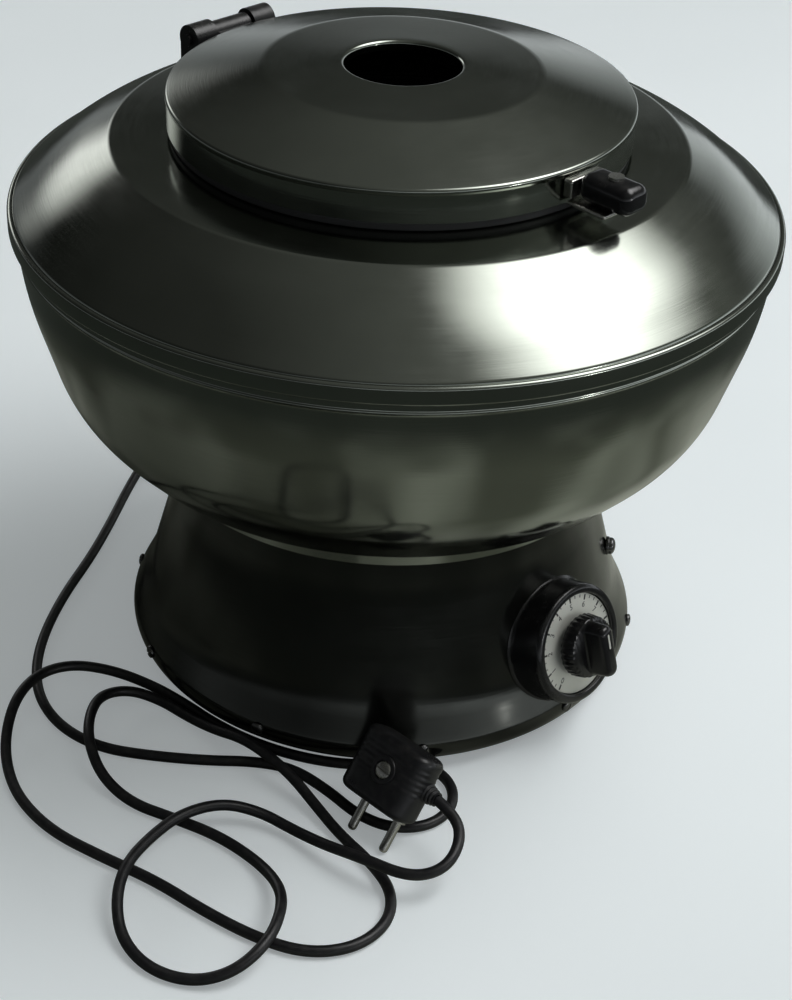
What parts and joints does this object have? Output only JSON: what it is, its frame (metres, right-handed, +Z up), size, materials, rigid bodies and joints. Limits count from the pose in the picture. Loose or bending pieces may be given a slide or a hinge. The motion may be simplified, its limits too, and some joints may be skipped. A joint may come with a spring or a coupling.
{
  "type": "vibratory rock tumbler",
  "caption": "Bench vibratory tumbler: round sprung bowl with hinged lid over a pot-shaped motor base with a speed knob, mains cord and plug.",
  "frame": {"origin": "on the floor under the axis of the bowl, between the feet", "axes": "+Z up along the bowl axis; -Y is the front, where the lid handle and the speed knob are; +Y is the back, with the lid hinge and the cord"},
  "size_m": [0.4025, 0.3407, 0.2863],
  "materials": {
    "base_steel": "polished dark nickel-like finish",
    "bearing_steel": "ground",
    "black_paint": "black stoving enamel",
    "black_rubber": "moulded rubber, matte",
    "board": "solder resist over glass laminate",
    "bowl_steel": "mirror polished stainless steel, dark reflections",
    "cast_aluminium": "die cast",
    "cord_sheath": "extruded flexible sheath, satin",
    "dark_screw": "black nickel plating",
    "dial_aluminium": "satin anodised with black graduations",
    "fan_plastic": "moulded nylon",
    "handle_plastic": "moulded phenolic, gloss",
    "knob_plastic": "moulded phenolic, gloss",
    "liner": "cast polyurethane, satin",
    "motor_paint": "grey enamel",
    "plate_steel": "zinc plated sheet",
    "plated_steel": "bright nickel plating",
    "plug_plastic": "moulded thermoset, worn gloss",
    "pod_plastic": "moulded ABS, satin gloss",
    "spring_steel": "oiled spring wire",
    "stator_steel": "varnished laminations",
    "weight_iron": "cast and turned"
  },
  "bodies": {
    "base": {"base_housing": "base_steel", "base_plate": "plate_steel", "feet": "black_rubber", "foot_nuts": "plated_steel", "rim_screws": "dark_screw", "side_screws": "dark_screw", "spring_ring": "plate_steel", "spring_guides_lower": "black_rubber", "spring_1": "spring_steel", "spring_2": "spring_steel", "spring_3": "spring_steel", "spring_4": "spring_steel", "knob_pod": "pod_plastic", "dial_plate": "dial_aluminium", "dial_nut": "plated_steel", "potentiometer": "fan_plastic", "speed_board": "board", "board_bracket": "plate_steel", "heat_sink": "cast_aluminium", "terminal_block": "fan_plastic", "cord_gland": "black_rubber", "power_cord": "cord_sheath", "plug_body": "plug_plastic", "plug_pins": "plated_steel", "plug_screw": "plated_steel"},
    "bowl": {"bowl": "bowl_steel", "bowl_liner": "liner", "liner_cone": "liner", "rim_band": "bowl_steel", "upper_cover": "bowl_steel", "lid_gasket": "black_rubber", "hinge_bracket": "black_paint", "hinge_pin": "black_paint", "bowl_collar": "bowl_steel", "drive_plate": "plate_steel", "bowl_bolts": "plated_steel", "centre_post": "plated_steel", "post_nut": "plated_steel", "spring_guides_upper": "black_rubber", "motor_posts": "plated_steel", "motor_housing": "motor_paint", "stator": "stator_steel", "motor_cap_upper": "cast_aluminium", "motor_cap_lower": "cast_aluminium", "bearing_upper": "bearing_steel", "bearing_lower": "bearing_steel"},
    "rotor": {"motor_shaft": "bearing_steel", "rotor_core": "stator_steel", "upper_weight": "weight_iron", "lower_weight": "weight_iron", "weight_screws": "plated_steel", "cooling_fan": "fan_plastic"},
    "lid": {"lid": "bowl_steel", "hinge_strap": "black_paint", "handle_bracket": "plated_steel", "lid_handle": "handle_plastic", "handle_screw": "plated_steel"},
    "knob": {"knob": "knob_plastic", "pot_shaft": "bearing_steel"}
  },
  "joints": [
    {"name": "bowl_bounce", "type": "slide", "parent": "base", "child": "bowl", "axis": [0, 0, 1], "range_m": [-0.002, 0.002], "stiffness_N_per_m": 9000, "springref_m": 0.0078, "deforming": ["spring_1", "spring_2", "spring_3", "spring_4"]},
    {"name": "lid_hinge", "type": "hinge", "parent": "bowl", "child": "lid", "pos_m": [0, 0.111, 0.269], "axis": [-1, 0, 0], "range_deg": [0, 100]},
    {"name": "rotor_spin", "type": "hinge", "parent": "bowl", "child": "rotor", "pos_m": [0, 0, 0.06], "axis": [0, 0, 1], "continuous": true},
    {"name": "knob_turn", "type": "hinge", "parent": "base", "child": "knob", "pos_m": [0.00214, -0.12268, 0.0499], "axis": [0.0167, -0.9562, 0.2924], "range_deg": [-135, 135]}
  ]
}
